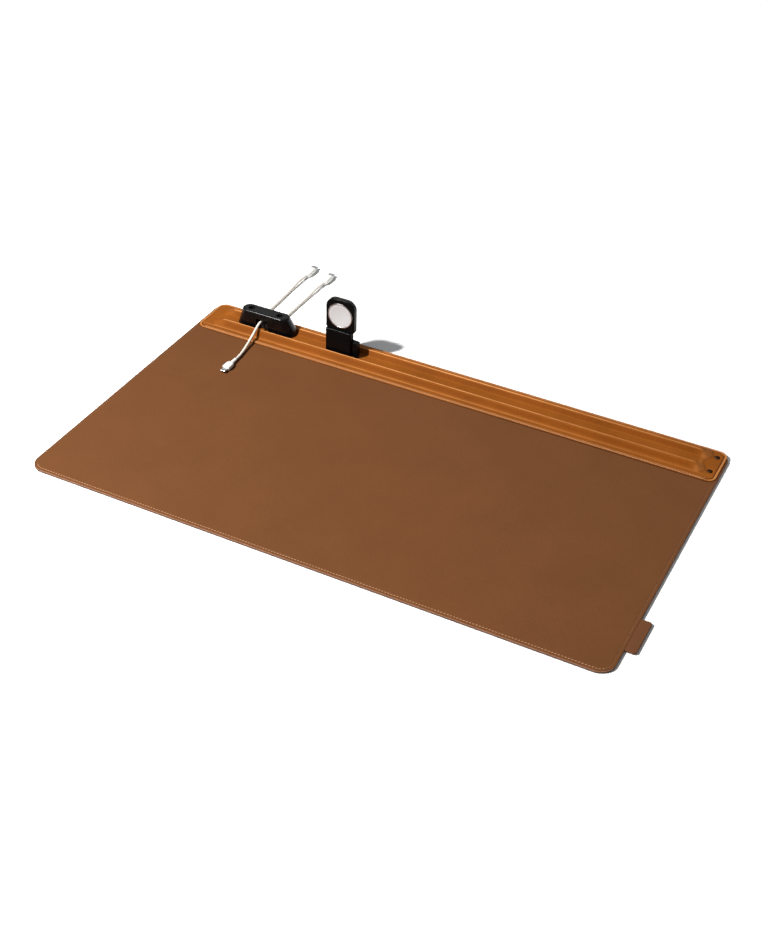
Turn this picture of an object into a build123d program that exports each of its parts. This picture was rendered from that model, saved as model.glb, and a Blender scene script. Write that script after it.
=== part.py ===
from build123d import *
import math
import os

# A leather desk mat with a moulded docking rail along its back edge. A cable dock and a wireless watch
# charging stand stand in the rail's channel, reach back over its rear ridge and slide along it, held down by
# magnets.
# Millimetres. X runs along the mat, Y towards the back and Z up, from the middle of the mat's underside.

# Mat
MAT_LENGTH = 630.0
MAT_DEPTH = 372.0
MAT_CORNER = 16.0
BASE_SKIN = 0.8
CORE_BOARD = 1.0
LEATHER = 1.2
MAT_TOP = BASE_SKIN + CORE_BOARD + LEATHER
CORE_INSET = 0.2
STITCH_INSET = 3.0
THREAD = 0.8

# Tag sewn into the right edge
TAG_FRONT = -148.5
TAG_BACK = -102.5
TAG_REACH = 11.0
TAG_TUCKED = 10.0
TAG_CORNER = 3.0
TAG_SLACK = 0.3

# Rail cover, in section from front to back
RAIL_HALF = 313.0
RAIL_FRONT = 127.5
RAIL_BACK = 185.4
RAIL_CORNER = 10.0
FLANGE_TOP = MAT_TOP + LEATHER
RIDGE_TOP = 10.0
CHANNEL_FLOOR = 5.0
FRONT_FOOT = 137.0
FRONT_CREST = (145.2, 148.2)
CHANNEL_FRONT = 150.4
CHANNEL_BACK = 164.0
REAR_CREST = (170.6, 174.6)
REAR_FOOT = 182.9
CREST_HALF = 286.0
FOOT_HALF = 299.0
STEEL_HALF = 280.0
STEEL_FRONT = 151.0
STEEL_BACK = 163.5
STEEL_THICK = 0.8
SEAM_MARGIN = 0.4
SEAM_WIDTH = 1.6
SEAM_HEIGHT = 0.6
SEAM_HALF = 303.0
RIVET_X = 303.2
RIVET_Y = (145.4, 172.4)
RIVET_HEAD = 3.0
RIVET_DOME = 1.3
RIVET_SHANK = 1.0

# Both modules
SADDLE_GAP = 0.3
PAD_THICK = 0.6
PLATE = 1.7
WALL = 2.0
SCREW_SHANK = 0.8
SCREW_HEAD = 1.7
HEAD_DEEP = 0.9
SKIN = 0.1
FAR = 400.0

# Cable dock
DOCK_X = -236.6
DOCK_FRONT = 151.2
DOCK_BASE = (76.8, 24.7)
DOCK_TOP = (59.4, 16.0)
DOCK_HIGH = 27.9
DOCK_TOP_ROUND = 1.8
DOCK_FLOOR = 5.6
NOTCH = (-245.7, -230.7)
NOTCH_TOP = 20.4
NOTCH_DEEP = 157.0
WELL_X = (-256.0, -218.7)
WELL_Y = 159.2
WELL_BORE = 3.5
WELL_LINER = 4.1
WELL_DEEP = 4.2
WELL_FLOOR = 0.7
CLIP_X = (-260.5, -229.5)
CLIP_Y = (157.0, 163.0)
CLIP_Z = (7.3, 16.8)
LIP = (6.4, 2.0, 3.3)
DOCK_BOSS_X = (-267.1, -206.1)
DOCK_BOSS_Y = 161.5
DOCK_SCREW_Z = (5.7, 15.0)
BOSS = 2.2
DOCK_MAGNET = (16.0, 3.4, 3.2)
DOCK_MAGNET_X = (-257.1, -216.1)
DOCK_MAGNET_Y = 155.1
DOCK_PAD_Y = (152.6, 158.4)

# Watch charging stand: a column in front, a low foot behind it and a side block that carries the inlet
COLUMN_X = (-154.0, -121.9)
COLUMN_Y = (151.2, 159.7)
COLUMN_TOP = 36.0
FOOT_BACK = 171.0
FOOT_TOP = 17.0
COLUMN_ROUND = 1.4
COLUMN_EDGE = 0.7
SIDE_X = (-121.9, -114.7)
SIDE_Y = (153.6, 160.5)
SIDE_TOP = 24.0
SIDE_EDGE = 1.0
INLET = (3.2, 5.0, 9.0)
INLET_WALL = 0.3
INLET_Z = 17.0
HEAD_X = -136.5
HEAD_Y = (153.5, 160.0)
HEAD_SPLIT = 155.5
HEAD_HALF = 18.0
HEAD_TOP = 75.2
HEAD_ROUND = 11.0
HEAD_LOW_ROUND = 3.0
HEAD_WALL = 1.5
PUCK_Z = 55.0
RING_OUTER = 15.4
RING_INNER = 14.0
RING_PROUD = 0.6
RING_EDGE = 0.35
DISH_RADIUS = 110.0
DISH_DEEP = 0.7
COIL = (6.0, 12.5, 1.2)
ALIGN_MAGNET = 4.6
FERRITE = (13.0, 0.5)
BOARD = (22.0, 1.2, 4.4)
BOARD_Z = 39.9
HEAD_FRONT_EDGE = 0.6
HEAD_BACK_EDGE = 1.0
HEAD_SCREWS = ((11.5, 69.8), (13.4, 41.0))
NECK = (18.0, 1.2)
NECK_Z = (22.0, 41.0)
STAND_MAGNET = (12.0, 6.0, 3.2)
STAND_MAGNET_Y = 157.2
STAND_MAGNET_X = (-145.5, -130.4)
STAND_BOSS_X = (-148.0, -128.0)
STAND_BOSS_Y = 167.0
STAND_SCREW_Z = (9.2, 15.0)

# Leads
LEAD = 3.0
ARC_SHARE = 0.45
FRONT_ROUTE = [
    (-240.9, 157.0, 15.8), (-240.9, 151.0, 15.8), (-240.5, 144.5, 14.9), (-239.0, 135.5, 12.0),
    (-237.8, 126.0, 9.4), (-236.5, 116.5, 7.5), (-235.1, 107.5, 6.4), (-233.8, 99.0, 5.8),
    (-232.9, 92.3, 5.8), (-232.9, 85.3, 5.8),
]
LEFT_ROUTE = [
    (-257.0, 163.0, 14.9), (-257.0, 180.5, 14.9), (-257.1, 191.5, 11.0), (-257.2, 202.0, 5.4),
    (-257.4, 213.0, 2.2), (-257.9, 229.0, 1.8), (-258.8, 252.0, 1.8), (-259.4, 272.0, 3.3),
    (-259.4, 284.0, 3.3),
]
RIGHT_ROUTE = [
    (-232.8, 163.0, 14.9), (-232.8, 180.5, 14.9), (-232.7, 191.5, 11.0), (-232.6, 202.0, 5.4),
    (-232.6, 213.0, 2.2), (-232.5, 229.0, 1.8), (-232.4, 248.0, 1.8), (-232.2, 266.0, 3.3),
    (-232.2, 278.0, 3.3),
]
EXIT_HOLE = 1.8
FRONT_GRIP = (9.0, 5.4, 12.5)
REAR_GRIP = (10.4, 6.4, 18.0)
FRONT_TIP = (6.7, 1.6, 6.6)
REAR_TIP = (8.3, 2.6, 6.6)
RELIEF = 2.3
FRONT_RELIEF = 9.8
REAR_RELIEF = 9.0
GRIP_ROUND = 1.2

PARTS = {}


def box(x, y, z):
    """A block from its low and high ends along each axis."""
    return Pos(x[0], y[0], z[0]) * Box(x[1] - x[0], y[1] - y[0], z[1] - z[0], align=(Align.MIN,) * 3)


def about(centre, size):
    """A block from its middle and its size."""
    return Pos(*centre) * Box(*size)


def upright(x, y, z, radius):
    """A round bar along Z from z[0] to z[1]."""
    return Pos(x, y, z[0]) * Cylinder(radius, z[1] - z[0], align=(Align.CENTER, Align.CENTER, Align.MIN))


def across(x, z, y, radius):
    """A round bar along Y from y[0] to y[1]."""
    return Pos(x, y[0], z) * Rot(-90, 0, 0) * Cylinder(
        radius, y[1] - y[0], align=(Align.CENTER, Align.CENTER, Align.MIN)
    )


def slab(length, depth, corner, z):
    """A flat sheet with rounded corners, centred on the mat."""
    return Pos(0, 0, z[0]) * extrude(RectangleRounded(length, depth, corner), z[1] - z[0])


def section(x, points):
    """A flat face across the rail at x, from (y, z) points."""
    return Face(Wire.make_polygon([(x, y, z) for y, z in points], close=True))


def along(points, x):
    """The same section carried along X."""
    return extrude(section(x[0], points), x[1] - x[0], dir=(1, 0, 0))


def joined(shapes):
    whole = shapes[0]
    for shape in shapes[1:]:
        whole += shape
    return whole


def keep(name, shape):
    PARTS[name] = shape


# The rail's section

def ridge_points():
    """The cover's outer skin over both ridges, down to the flange."""
    return [
        (FRONT_FOOT, FLANGE_TOP), (FRONT_CREST[0], RIDGE_TOP), (FRONT_CREST[1], RIDGE_TOP),
        (CHANNEL_FRONT, CHANNEL_FLOOR), (CHANNEL_BACK, CHANNEL_FLOOR),
        (REAR_CREST[0], RIDGE_TOP), (REAR_CREST[1], RIDGE_TOP), (REAR_FOOT, FLANGE_TOP),
    ]


def saddle_points(gap, floor, bottom=0.0):
    """The space that a module keeps clear over the rail: the skin raised by a gap."""
    return [
        (RAIL_FRONT - WALL, bottom), (RAIL_FRONT - WALL, floor), (CHANNEL_BACK - gap, floor),
        (REAR_CREST[0] - gap, RIDGE_TOP + gap), (REAR_CREST[1] + gap, RIDGE_TOP + gap),
        (REAR_FOOT + gap, FLANGE_TOP + gap), (RAIL_BACK + WALL, FLANGE_TOP + gap),
        (RAIL_BACK + WALL, bottom),
    ]


def core_points(front):
    """A ridge's filling, one leather thickness inside the skin."""
    top = RIDGE_TOP - LEATHER
    step = CHANNEL_FLOOR - LEATHER
    if front:
        inner = CHANNEL_FRONT - LEATHER
        return [(FRONT_FOOT, MAT_TOP), (FRONT_CREST[0], top), (FRONT_CREST[1] - LEATHER, top),
                (inner, step), (inner, MAT_TOP)]
    return [(CHANNEL_BACK, MAT_TOP), (CHANNEL_BACK, step), (REAR_CREST[0], top), (REAR_CREST[1], top),
            (REAR_FOOT, MAT_TOP)]


def hipped(points, inset, low, high):
    """A section carried along X between heights low and high, its two ends sloping like a hipped roof's."""
    foot = FOOT_HALF - inset
    crest = CREST_HALF - inset
    corners = [(-foot, 0, low), (foot, 0, low), (crest, 0, high), (-crest, 0, high)]
    outline = Face(Wire.make_polygon(corners, close=True))
    return along(points, (-foot, foot)) & extrude(outline, MAT_DEPTH, dir=(0, 1, 0))


# Mat

def make_mat():
    tag_x = MAT_LENGTH / 2 - TAG_TUCKED
    keep("mat_base", slab(MAT_LENGTH, MAT_DEPTH, MAT_CORNER, (0, BASE_SKIN)))
    core = slab(MAT_LENGTH - 2 * CORE_INSET, MAT_DEPTH - 2 * CORE_INSET, MAT_CORNER - CORE_INSET,
                (BASE_SKIN, BASE_SKIN + CORE_BOARD))
    core -= box((tag_x - TAG_SLACK, MAT_LENGTH), (TAG_FRONT - TAG_SLACK, TAG_BACK + TAG_SLACK), (0, MAT_TOP))
    tag = box((tag_x, MAT_LENGTH / 2 + TAG_REACH), (TAG_FRONT, TAG_BACK),
              (BASE_SKIN, BASE_SKIN + CORE_BOARD))
    keep("leather_tag", fillet(tag.edges().filter_by(Axis.Z).group_by(Axis.X)[-1], TAG_CORNER))
    top = slab(MAT_LENGTH, MAT_DEPTH, MAT_CORNER, (BASE_SKIN + CORE_BOARD, MAT_TOP))
    rivets = rivet_shanks()
    keep("mat_core", core - rivets)
    keep("mat_top_leather", top - rivets)
    outer = slab(MAT_LENGTH - 2 * STITCH_INSET + THREAD, MAT_DEPTH - 2 * STITCH_INSET + THREAD,
                 MAT_CORNER - STITCH_INSET + THREAD / 2, (MAT_TOP, MAT_TOP + THREAD / 2))
    inner = slab(MAT_LENGTH - 2 * STITCH_INSET - THREAD, MAT_DEPTH - 2 * STITCH_INSET - THREAD,
                 MAT_CORNER - STITCH_INSET - THREAD / 2, (0, 2 * MAT_TOP))
    behind = box((-MAT_LENGTH, MAT_LENGTH), (RAIL_FRONT - THREAD, MAT_DEPTH), (0, 2 * MAT_TOP))
    keep("mat_stitching", outer - inner - behind)


def rivet_shanks():
    return joined([upright(RIVET_X, y, (BASE_SKIN, FLANGE_TOP), RIVET_SHANK) for y in RIVET_Y])


def make_rail():
    front = hipped(core_points(True), LEATHER, MAT_TOP, RIDGE_TOP - LEATHER)
    rear = hipped(core_points(False), LEATHER, MAT_TOP, RIDGE_TOP - LEATHER)
    steel = box((-STEEL_HALF, STEEL_HALF), (STEEL_FRONT, STEEL_BACK), (MAT_TOP, MAT_TOP + STEEL_THICK))
    flange = box((-RAIL_HALF, RAIL_HALF), (RAIL_FRONT, RAIL_BACK), (MAT_TOP, FLANGE_TOP))
    flange = fillet(flange.edges().filter_by(Axis.Z), RAIL_CORNER)
    cover = flange + hipped(ridge_points(), 0, FLANGE_TOP, RIDGE_TOP)
    keep("rail_front_core", front)
    keep("rail_rear_core", rear)
    keep("rail_steel_strip", steel)
    keep("rail_leather", cover - front - rear - steel - rivet_shanks())
    seam_front = RAIL_FRONT + SEAM_MARGIN
    keep("rail_stitching", box((-SEAM_HALF, SEAM_HALF), (seam_front, seam_front + SEAM_WIDTH),
                               (FLANGE_TOP, FLANGE_TOP + SEAM_HEIGHT)))
    bulge = (RIVET_HEAD**2 + RIVET_DOME**2) / (2 * RIVET_DOME)
    head = Pos(0, 0, FLANGE_TOP + RIVET_DOME - bulge) * Sphere(bulge)
    head &= upright(0, 0, (FLANGE_TOP, FLANGE_TOP + RIVET_DOME), RIVET_HEAD)
    heads = [Pos(RIVET_X, y, 0) * head for y in RIVET_Y]
    keep("rail_rivets", joined(heads) + rivet_shanks())


# Cable dock

def dock_form(inset, bottom, top):
    """The dock's outside, or its hollow when inset, cut off at two heights."""
    less = 2 * inset
    low_y = DOCK_FRONT + DOCK_BASE[1] / 2
    high_y = DOCK_FRONT + DOCK_TOP[1] / 2
    low = Pos(DOCK_X, low_y, DOCK_FLOOR) * SlotOverall(DOCK_BASE[0] - less, DOCK_BASE[1] - less)
    high = Pos(DOCK_X, high_y, DOCK_HIGH) * SlotOverall(DOCK_TOP[0] - less, DOCK_TOP[1] - less)
    form = loft([low, high])
    if inset == 0:
        return fillet(form.edges().group_by(Axis.Z)[-1], DOCK_TOP_ROUND)
    return form & box((-FAR, 0), (0, FAR), (bottom, top))


def make_dock():
    saddle = along(saddle_points(SADDLE_GAP, DOCK_FLOOR), (-FAR, 0))
    lining = along(saddle_points(SADDLE_GAP + PLATE, DOCK_FLOOR + PLATE), (-FAR, 0))
    hollow = dock_form(WALL, 0, DOCK_HIGH - WALL)
    notch = box(NOTCH, (0, NOTCH_DEEP), (0, NOTCH_TOP))
    exits = joined([across(route[0][0], route[0][2], (CLIP_Y[1], RAIL_BACK + WALL), EXIT_HOLE)
                    for route in (LEFT_ROUTE, RIGHT_ROUTE)])
    bosses = joined([upright(x, DOCK_BOSS_Y, (0, DOCK_HIGH - WALL), BOSS) for x in DOCK_BOSS_X])
    pocket = DOCK_HIGH - WELL_DEEP
    wells = joined([upright(x, WELL_Y, (pocket, DOCK_HIGH + WALL), WELL_LINER) for x in WELL_X])
    screws = joined([base_screw(x, DOCK_BOSS_Y, DOCK_SCREW_Z) for x in DOCK_BOSS_X])
    lip = about((FRONT_ROUTE[0][0], CLIP_Y[0] + LIP[1] / 2, FRONT_ROUTE[0][2]), LIP)
    clip = box(CLIP_X, CLIP_Y, CLIP_Z) + lip
    magnet_z = DOCK_FLOOR + PLATE + DOCK_MAGNET[2] / 2
    magnets = joined([about((x, DOCK_MAGNET_Y, magnet_z), DOCK_MAGNET) for x in DOCK_MAGNET_X])
    cover = dock_form(0, 0, 0) - hollow
    cover += (bosses & dock_form(WALL / 2, 0, DOCK_HIGH - WALL / 2)) - lining
    keep("dock_cover", cover - saddle - notch - exits - wells - screws - magnets)
    keep("dock_base", ((lining - saddle) & dock_form(WALL, 0, DOCK_HIGH)) - notch - screws - magnets - clip)
    keep("dock_screws", screws)
    keep("dock_cable_clip", clip)
    keep("dock_magnets", magnets)
    bores = joined([upright(x, WELL_Y, (pocket + WELL_FLOOR, DOCK_HIGH), WELL_BORE) for x in WELL_X])
    liners = joined([upright(x, WELL_Y, (pocket, DOCK_HIGH - SKIN), WELL_LINER) for x in WELL_X])
    keep("dock_well_liners", liners - bores)
    keep("dock_pads", joined([box((x - DOCK_MAGNET[0] / 2, x + DOCK_MAGNET[0] / 2), DOCK_PAD_Y,
                                  (CHANNEL_FLOOR, DOCK_FLOOR)) for x in DOCK_MAGNET_X]))


def base_screw(x, y, z):
    """A screw driven up through a module's base plate, its head at the bottom."""
    return upright(x, y, (z[0], z[0] + HEAD_DEEP), SCREW_HEAD) + upright(x, y, z, SCREW_SHANK)


# Watch charging stand

def stand_form(inset):
    """The stand's column and foot, or their hollow when inset."""
    x = (COLUMN_X[0] + inset, COLUMN_X[1] - inset)
    front = COLUMN_Y[0] + inset
    column = box(x, (front, COLUMN_Y[1] - inset), (DOCK_FLOOR, COLUMN_TOP - inset))
    form = column + box(x, (front, FOOT_BACK - inset), (DOCK_FLOOR, FOOT_TOP - inset))
    if inset == 0:
        form = fillet(form.edges().filter_by(Axis.Z), COLUMN_ROUND)
        form = fillet(form.edges().group_by(Axis.Z)[-1], COLUMN_EDGE)
    return form


def head_form(inset, y):
    """The head's rounded plate between two depths, standing on the column."""
    low = COLUMN_TOP + inset
    high = HEAD_TOP - inset
    plate = box((HEAD_X - HEAD_HALF + inset, HEAD_X + HEAD_HALF - inset), y, (low, high))
    plate = fillet(plate.edges().filter_by(Axis.Y).group_by(Axis.Z)[-1], HEAD_ROUND - inset)
    return fillet(plate.edges().filter_by(Axis.Y).group_by(Axis.Z)[0], HEAD_LOW_ROUND - inset)


def make_body():
    saddle = along(saddle_points(SADDLE_GAP, DOCK_FLOOR), (-FAR, 0))
    lining = along(saddle_points(SADDLE_GAP + PLATE, DOCK_FLOOR + PLATE), (-FAR, 0))
    outside = stand_form(0)
    hollow = stand_form(WALL)
    bosses = joined([upright(x, STAND_BOSS_Y, (0, FOOT_TOP - WALL / 2), BOSS) for x in STAND_BOSS_X])
    screws = joined([base_screw(x, STAND_BOSS_Y, STAND_SCREW_Z) for x in STAND_BOSS_X])
    sinks = joined([upright(x, STAND_BOSS_Y, (0, STAND_SCREW_Z[0]), SCREW_HEAD) for x in STAND_BOSS_X])
    body = outside - hollow + ((bosses & stand_form(WALL / 2)) - lining)
    neck = neck_plate()
    keep("stand_body", body - saddle - screws - neck)
    keep("stand_base", ((lining - saddle) & hollow) - screws - sinks)
    keep("stand_base_screws", screws)
    low = DOCK_FLOOR + PLATE
    keep("stand_magnets", joined([about((x, STAND_MAGNET_Y, low + STAND_MAGNET[2] / 2), STAND_MAGNET)
                                  for x in STAND_MAGNET_X]))
    pad = (STAND_MAGNET[0], STAND_MAGNET[1], PAD_THICK)
    keep("stand_pads", joined([about((x, STAND_MAGNET_Y, CHANNEL_FLOOR + PAD_THICK / 2), pad)
                               for x in STAND_MAGNET_X]))
    side = box(SIDE_X, SIDE_Y, (DOCK_FLOOR, SIDE_TOP))
    side = fillet(side.edges().filter_by(Axis.Y).group_by(Axis.X)[-1].sort_by(Axis.Z)[-1], SIDE_EDGE)
    inlet_x = (SIDE_X[0] + SIDE_X[1]) / 2
    sleeve_y = SIDE_Y[1] - INLET[1] / 2
    socket = inlet_form(inlet_x, sleeve_y, 0.0)
    mouth = inlet_form(inlet_x, sleeve_y + WALL / 2, INLET_WALL)
    keep("stand_side_block", side - socket)
    keep("usb_inlet", socket - mouth)


def inlet_form(x, y, inset):
    """The charging inlet's oval sleeve, or its hollow when inset."""
    form = about((x, y, INLET_Z), (INLET[0] - 2 * inset, INLET[1], INLET[2] - 2 * inset))
    return fillet(form.edges().filter_by(Axis.Y), INLET[0] / 2 - inset - SKIN)


def neck_plate():
    middle = (HEAD_SPLIT + HEAD_Y[1]) / 2
    half = NECK[0] / 2
    return box((HEAD_X - half, HEAD_X + half), (middle - NECK[1] / 2, middle + NECK[1] / 2), NECK_Z)


def make_head():
    neck = neck_plate()
    cavity_y = (HEAD_SPLIT, HEAD_Y[1] - HEAD_WALL)
    places = [(HEAD_X + side * x, z) for side in (-1, 1) for x, z in HEAD_SCREWS]
    posts = joined([across(x, z, (HEAD_SPLIT, HEAD_Y[1] - HEAD_WALL / 2), BOSS) for x, z in places])
    screws = joined([across(x, z, (HEAD_Y[1] - HEAD_DEEP, HEAD_Y[1]), SCREW_HEAD)
                     + across(x, z, (HEAD_Y[0] + HEAD_DEEP, HEAD_Y[1]), SCREW_SHANK) for x, z in places])
    back = head_form(0, (HEAD_SPLIT, HEAD_Y[1])) - head_form(HEAD_WALL, cavity_y)
    back += posts & head_form(HEAD_WALL / 2, (HEAD_SPLIT, HEAD_Y[1]))
    back = fillet(back.faces().sort_by(Axis.Y)[-1].outer_wire().edges(), HEAD_BACK_EDGE)
    keep("head_back_shell", back - screws - neck)
    seat = across(HEAD_X, PUCK_Z, (COLUMN_Y[0], HEAD_SPLIT), RING_OUTER)
    front = head_form(0, (HEAD_Y[0], HEAD_SPLIT))
    front = fillet(front.faces().sort_by(Axis.Y)[0].outer_wire().edges(), HEAD_FRONT_EDGE)
    keep("head_front_plate", front - seat - screws)
    keep("head_screws", screws)
    keep("neck_plate", neck)
    ring = across(HEAD_X, PUCK_Z, (HEAD_Y[0] - RING_PROUD, HEAD_SPLIT), RING_OUTER)
    ring -= across(HEAD_X, PUCK_Z, (COLUMN_Y[0], HEAD_SPLIT), RING_INNER)
    keep("charge_ring", fillet(ring.faces().sort_by(Axis.Y)[0].edges(), RING_EDGE))
    face = across(HEAD_X, PUCK_Z, (HEAD_Y[0] - RING_PROUD / 2, HEAD_SPLIT), RING_INNER)
    face -= Pos(HEAD_X, HEAD_Y[0] - RING_PROUD / 2 + DISH_DEEP - DISH_RADIUS, PUCK_Z) * Sphere(DISH_RADIUS)
    keep("charge_face", face)
    behind = (HEAD_SPLIT, HEAD_SPLIT + COIL[2])
    keep("charge_coil", across(HEAD_X, PUCK_Z, behind, COIL[1]) - across(HEAD_X, PUCK_Z, behind, COIL[0]))
    keep("align_magnet", across(HEAD_X, PUCK_Z, behind, ALIGN_MAGNET))
    keep("ferrite_disc", across(HEAD_X, PUCK_Z, (behind[1], behind[1] + FERRITE[1]), FERRITE[0]))
    keep("charge_board", about((HEAD_X, HEAD_SPLIT + BOARD[1] / 2, BOARD_Z), BOARD))


# Leads and plugs

def corner_radius(before, corner, after):
    """As large as the two runs allow."""
    run_in = Vector(*corner) - Vector(*before)
    run_out = Vector(*after) - Vector(*corner)
    half_turn = math.radians(run_in.get_angle(run_out)) / 2
    return ARC_SHARE * min(run_in.length, run_out.length) / math.tan(half_turn)


def lead_tube(name, route):
    radii = [corner_radius(*route[i - 1:i + 2]) for i in range(1, len(route) - 1)]
    path = FilletPolyline(*route, radius=radii)
    start = Plane(origin=route[0], z_dir=Vector(*route[1]) - Vector(*route[0]))
    tube = sweep(start * Circle(LEAD / 2), path=path)
    length = path.length
    expected = math.pi * LEAD**2 / 4 * length
    print(name, "length", round(length, 1), "radii", [round(r, 1) for r in radii],
          "volume share", round(tube.volume / expected, 4))
    keep(name, tube)


def plug(name, end, way, grip, tip, relief):
    """A plug on a lead that ends at end, pointing forwards (-1) or backwards (1) along Y."""
    width, height, length = grip
    x, y, z = end
    cone = Cone(LEAD / 2, RELIEF, relief, align=(Align.CENTER, Align.CENTER, Align.MIN))
    sleeve = Pos(x, y, z) * Rot(-90 * way, 0, 0) * cone
    body = about((x, y + way * (relief + length / 2), z), (width, length, height))
    body = fillet(body.edges(), GRIP_ROUND)
    keep(name + "_grip", sleeve + body)
    keep(name + "_tip", about((x, y + way * (relief + length + tip[2] / 2), z), (tip[0], tip[2], tip[1])))


def make_leads():
    lead_tube("front_lead", FRONT_ROUTE)
    lead_tube("rear_lead_left", LEFT_ROUTE)
    lead_tube("rear_lead_right", RIGHT_ROUTE)
    plug("front_plug", FRONT_ROUTE[-1], -1, FRONT_GRIP, FRONT_TIP, FRONT_RELIEF)
    plug("rear_plug_left", LEFT_ROUTE[-1], 1, REAR_GRIP, REAR_TIP, REAR_RELIEF)
    plug("rear_plug_right", RIGHT_ROUTE[-1], 1, REAR_GRIP, REAR_TIP, REAR_RELIEF)


make_mat()
make_rail()
make_dock()
make_body()
make_head()
make_leads()

os.makedirs("parts", exist_ok=True)
for part_name, part_shape in PARTS.items():
    export_step(part_shape, f"parts/{part_name}.step")
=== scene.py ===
import math
import random

import bpy
from mathutils import Matrix, Vector, noise


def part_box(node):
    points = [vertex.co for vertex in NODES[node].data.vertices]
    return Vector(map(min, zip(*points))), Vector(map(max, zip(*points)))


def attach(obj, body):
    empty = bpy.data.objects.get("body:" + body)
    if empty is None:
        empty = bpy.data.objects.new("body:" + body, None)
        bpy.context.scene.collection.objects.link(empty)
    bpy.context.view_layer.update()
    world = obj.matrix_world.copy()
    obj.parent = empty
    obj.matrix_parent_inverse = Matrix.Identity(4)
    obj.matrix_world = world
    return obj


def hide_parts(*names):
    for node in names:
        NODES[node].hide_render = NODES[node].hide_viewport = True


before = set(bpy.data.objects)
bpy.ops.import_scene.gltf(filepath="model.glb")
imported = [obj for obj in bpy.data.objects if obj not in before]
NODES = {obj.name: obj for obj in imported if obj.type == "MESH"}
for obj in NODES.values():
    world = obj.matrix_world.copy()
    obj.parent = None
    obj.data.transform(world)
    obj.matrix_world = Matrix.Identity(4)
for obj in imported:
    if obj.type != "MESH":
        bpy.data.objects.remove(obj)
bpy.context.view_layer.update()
MM = 0.001
random.seed(7)

# Camera: where it looks, how far off it stands and how it is turned
AIM = Vector((8.6, -19.9, 0.0)) * MM
DISTANCE = 1.531
AZIMUTH = math.radians(25.73)
ELEVATION = math.radians(37.21)
ROLL = math.radians(2.04)
LENS = 56.5
SENSOR = 36.0

# Leads: their diameter and routes in millimetres, as in the part's source
LEAD = 3.0
FRONT_ROUTE = [
    (-240.9, 157.0, 15.8), (-240.9, 151.0, 15.8), (-240.5, 144.5, 13.9), (-239.0, 135.5, 11.8),
    (-237.8, 126.0, 9.3), (-236.5, 116.5, 7.4), (-235.1, 107.5, 6.3), (-233.8, 99.0, 5.8),
    (-232.9, 92.3, 5.8), (-232.9, 85.3, 5.8),
]
LEFT_ROUTE = [
    (-257.0, 163.0, 14.9), (-257.0, 176.0, 14.9), (-257.0, 184.5, 14.5), (-257.0, 189.5, 8.5),
    (-257.1, 193.8, 2.3), (-257.2, 202.5, 1.7), (-257.9, 229.0, 1.8), (-258.8, 252.0, 1.8),
    (-259.4, 272.0, 3.3), (-259.4, 284.0, 3.3),
]
RIGHT_ROUTE = [
    (-232.8, 163.0, 14.9), (-232.8, 176.0, 14.9), (-232.8, 184.5, 14.5), (-232.7, 189.5, 8.5),
    (-232.7, 193.8, 2.3), (-232.6, 202.5, 1.7), (-232.5, 229.0, 1.8), (-232.4, 248.0, 1.8),
    (-232.2, 266.0, 3.3), (-232.2, 278.0, 3.3),
]

# Each lead: piece, node, route, plug, way along Y, strain relief, hollow tip or not, length in metres
LEADS = [
    ("lead_front", "front_lead", FRONT_ROUTE, "front_plug", -1, 9.8, False, 0.073),
    ("lead_rear_left", "rear_lead_left", LEFT_ROUTE, "rear_plug_left", 1, 9.0, True, 0.123),
    ("lead_rear_right", "rear_lead_right", RIGHT_ROUTE, "rear_plug_right", 1, 9.0, True, 0.117),
]

# Stitching, in millimetres. A stitch's rise is how far its middle stands up.
MAT_INSET = 3.0
MAT_CORNER = 16.0
MAT_PITCH = 3.2
MAT_STITCH = MAT_PITCH * 0.82
MAT_THREAD = 0.36
MAT_RISE = 0.42
MAT_SLANT = 0.05
MAT_SUNK = 0.16
SEAM_PITCH = 3.1
SEAM_STITCH = 6.0
SEAM_THREAD = 0.58
SEAM_RISE = 0.80
SEAM_SLANT = 0.72
SEAM_SUNK = 0.15
SEAM_IN = 2.6

# The rail cover's shape, in millimetres
RAIL_CORNER = 10.0
RAIL_MIDDLE = (0.0, 156.45, 0.0)
RAIL_INNER = (303.0, 18.95, 1000.0)
FLANGE = 4.2
CHANNEL = 5.0
CREST = 10.0
RIDGE = [
    (120.0, FLANGE), (137.0, FLANGE), (145.2, CREST), (148.2, CREST), (150.4, CHANNEL), (164.0, CHANNEL),
    (170.6, CREST), (174.6, CREST), (182.9, FLANGE), (200.0, FLANGE),
]
RIDGE_ROUNDING = 0.85
HIP_FOOT = 299.0
HIP_CREST = 286.0
HIP_NOSE = 5.0
HIP_NOSES = ((146.0, 9.0), (173.0, 10.5))
EDGE_ROUNDING = 0.7
CREASE_IN = 3.1
CREASE_HALF = 0.9
CREASE_DEPTH = 0.75
CREASE_START = (296.0, 306.0)
SEAM_GROOVE_IN = 1.2
SEAM_GROOVE_HALF = 0.9
SEAM_GROOVE_DEPTH = 0.18
RIVET_PLACES = ((303.2, 145.4), (303.2, 172.4))
RIVET_DIMPLE = 0.35
RIVET_REACH = (3.0, 4.6)
UNEVENNESS = 0.06

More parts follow.
